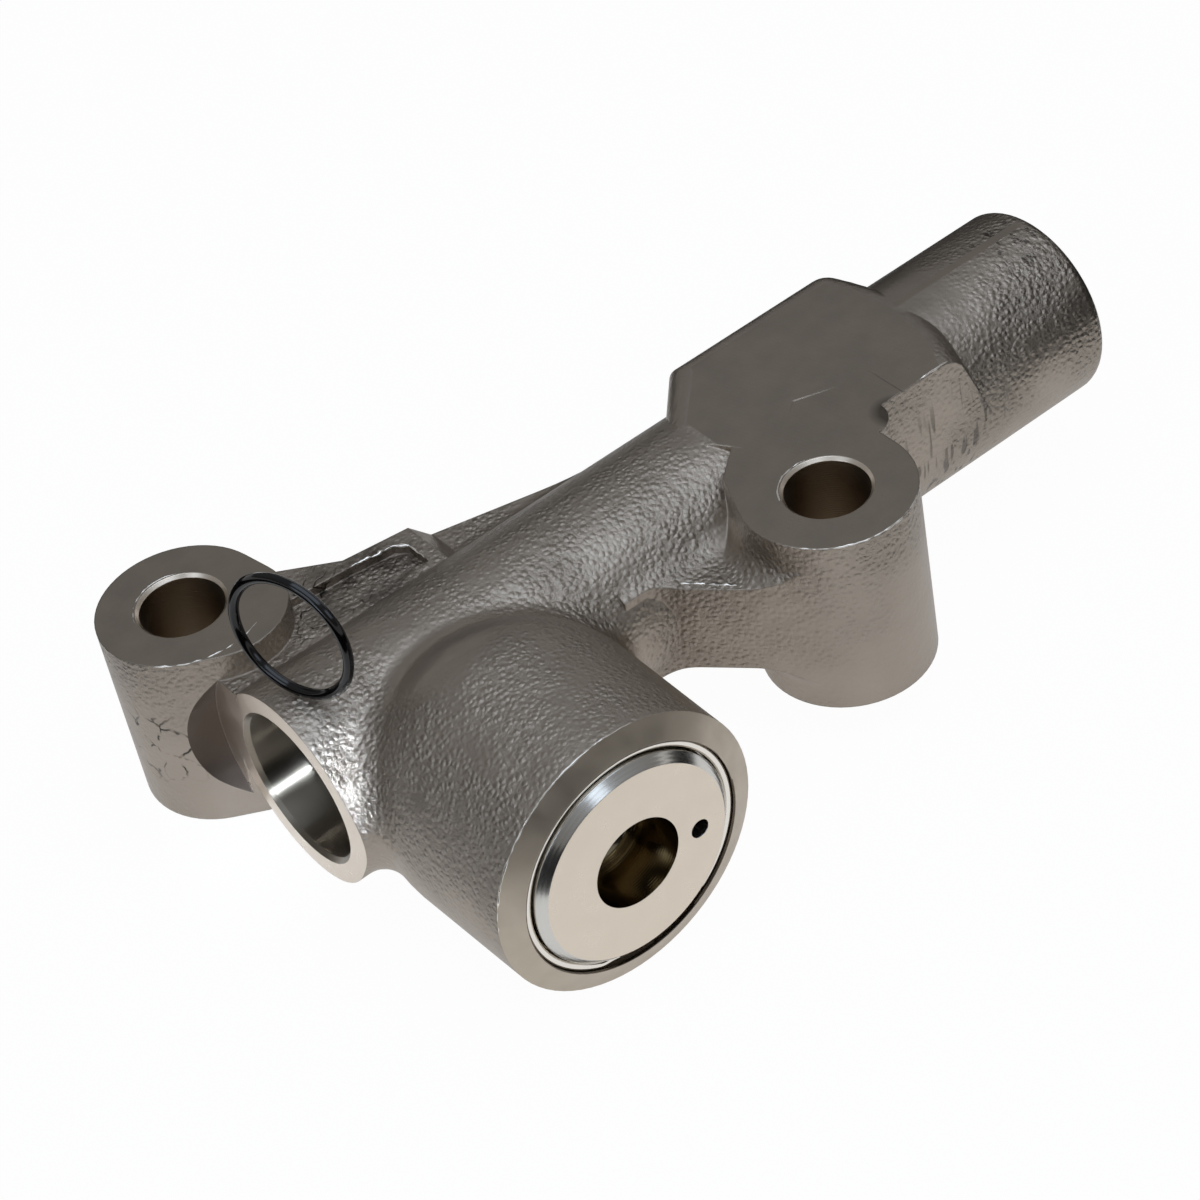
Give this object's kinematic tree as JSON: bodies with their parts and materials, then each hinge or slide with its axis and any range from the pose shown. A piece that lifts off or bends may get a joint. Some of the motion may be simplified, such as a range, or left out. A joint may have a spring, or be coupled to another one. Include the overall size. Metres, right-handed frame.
{
  "type": "hydraulic timing tensioner",
  "caption": "Hydraulic timing tensioner: cast iron body with a spring-loaded oil plunger, a closed accumulator tube, an oil feed mouth and bolt bosses.",
  "frame": {"origin": "centre of the oil feed mouth, on the axis of the long tube", "axes": "+X along the tube away from its mouth, -Y out of the plunger barrel, +Z along the bolt holes towards the milled side"},
  "size_m": [0.1094, 0.0622, 0.0417],
  "materials": {
    "cast_body": "sand-cast skin, milled faces and bores",
    "ground_steel": "ground",
    "hard_steel": "hardened and polished",
    "spring_steel": "drawn wire",
    "pressed_steel": "pressed sheet",
    "seal_rubber": "smooth"
  },
  "bodies": {
    "housing": {"body_casting": "cast_body", "plunger_retaining_ring": "spring_steel", "plunger_spring": "spring_steel", "valve_seat": "hard_steel", "check_ball_spring": "spring_steel", "valve_cage": "pressed_steel", "accumulator_spring": "spring_steel", "accumulator_stop_ring": "spring_steel", "feed_o_ring": "seal_rubber"},
    "plunger_group": {"plunger": "ground_steel", "plunger_cup": "hard_steel"},
    "ball": {"check_ball": "hard_steel"},
    "accumulator": {"accumulator_piston": "ground_steel", "accumulator_seal_ring": "seal_rubber"}
  },
  "joints": [
    {"name": "plunger_slide", "type": "slide", "parent": "housing", "child": "plunger_group", "axis": [0, -1, 0], "range_m": [-0.0055, 0], "stiffness_N_per_m": 3000, "springref_m": 0.004, "deforming": ["plunger_spring"]},
    {"name": "check_ball_lift", "type": "slide", "parent": "housing", "child": "ball", "axis": [0, -1, 0], "range_m": [0, 0.0008], "stiffness_N_per_m": 50, "springref_m": -0.001, "deforming": ["check_ball_spring"]},
    {"name": "accumulator_slide", "type": "slide", "parent": "housing", "child": "accumulator", "axis": [1, 0, 0], "range_m": [0, 0.01], "stiffness_N_per_m": 1500, "springref_m": -0.004, "deforming": ["accumulator_spring"]}
  ]
}
